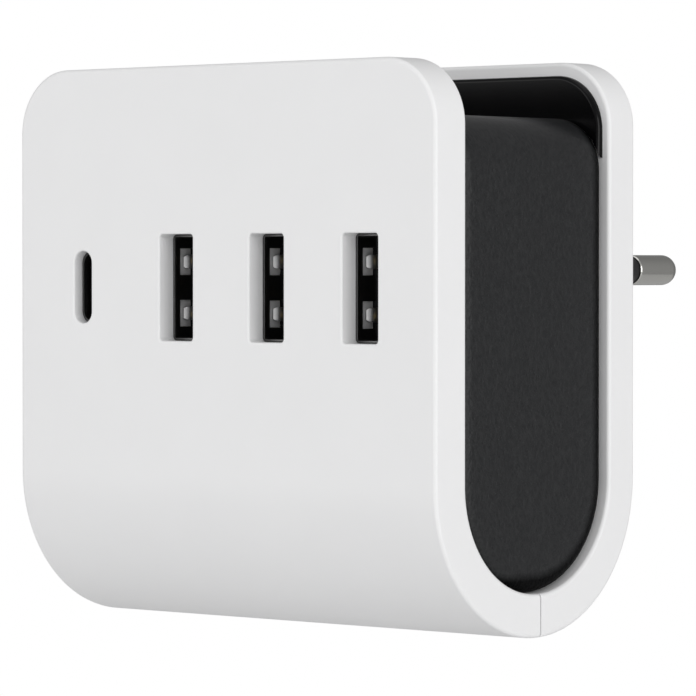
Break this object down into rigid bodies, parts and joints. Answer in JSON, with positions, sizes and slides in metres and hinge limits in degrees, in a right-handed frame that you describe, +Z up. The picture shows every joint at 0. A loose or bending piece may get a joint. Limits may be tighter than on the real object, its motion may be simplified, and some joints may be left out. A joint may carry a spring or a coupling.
{
  "type": "usb wall charger",
  "caption": "Wall charger with USB-A and USB-C ports on its front, a round-pin plug at the back and an open channel on top to rest a phone or cable in.",
  "frame": {"origin": "middle of the plug's end face, between the two pins", "axes": "+Y into the wall along the plug, +Z up, +X to the right seen from the front; the front face with the ports faces -Y"},
  "size_m": [0.07, 0.0784, 0.0699],
  "materials": {
    "white_shell": "satin moulded",
    "black_core": "fine leather-like grain",
    "cover_plastic": "plain moulded",
    "black_liner": "smooth",
    "plug_plastic": "satin moulded",
    "screw_steel": "zinc plated",
    "pin_metal": "nickel-plated brass",
    "sleeve_plastic": "smooth",
    "spring_bronze": "spring bronze",
    "socket_steel": "nickel-plated sheet steel",
    "tongue_plastic": "plain moulded",
    "contact_gold": "gold plated",
    "board_laminate": "solder mask",
    "standoff_brass": "turned",
    "header_plastic": "plain moulded",
    "insulation_film": "thin film",
    "ferrite": "sintered",
    "copper_wire": "enamelled copper",
    "winding_tape": "polyester tape",
    "capacitor_sleeve": "shrink sleeve over aluminium can",
    "film_box": "moulded box",
    "disc_ceramic": "epoxy-dipped disc",
    "fuse_body": "ceramic tube",
    "chip_epoxy": "moulded epoxy",
    "silicone_pad": "soft pad",
    "spreader_aluminium": "stamped"
  },
  "bodies": {
    "root": {"bridge_rectifier": "chip_epoxy", "bulk_capacitors": "capacitor_sleeve", "choke_core": "ferrite", "choke_windings": "copper_wire", "core_cover": "cover_plastic", "core_housing": "black_core", "front_liner": "black_liner", "front_shell": "white_shell", "fuse": "fuse_body", "header_body": "header_plastic", "header_pins": "contact_gold", "heat_spreader": "spreader_aluminium", "insulating_sheet": "insulation_film", "main_board": "board_laminate", "output_capacitors": "capacitor_sleeve", "pin_contact_left": "spring_bronze", "pin_contact_right": "spring_bronze", "pin_left": "pin_metal", "pin_right": "pin_metal", "pin_sleeve_left": "sleeve_plastic", "pin_sleeve_right": "sleeve_plastic", "plug_base": "plug_plastic", "plug_screws": "screw_steel", "port_board": "board_laminate", "port_board_screws": "screw_steel", "port_controllers": "chip_epoxy", "power_chips": "chip_epoxy", "rear_liner": "black_liner", "rear_shell": "white_shell", "standoffs": "standoff_brass", "thermal_pad": "silicone_pad", "transformer_bobbin": "header_plastic", "transformer_core": "ferrite", "transformer_primary": "copper_wire", "transformer_secondary": "winding_tape", "usb_a_contacts_1": "contact_gold", "usb_a_contacts_2": "contact_gold", "usb_a_contacts_3": "contact_gold", "usb_a_shell_1": "socket_steel", "usb_a_shell_2": "socket_steel", "usb_a_shell_3": "socket_steel", "usb_a_tongue_1": "tongue_plastic", "usb_a_tongue_2": "tongue_plastic", "usb_a_tongue_3": "tongue_plastic", "usb_c_contacts": "contact_gold", "usb_c_shell": "socket_steel", "usb_c_tongue": "tongue_plastic", "varistor": "disc_ceramic", "x_capacitor": "film_box", "y_capacitor": "disc_ceramic"}
  },
  "joints": []
}
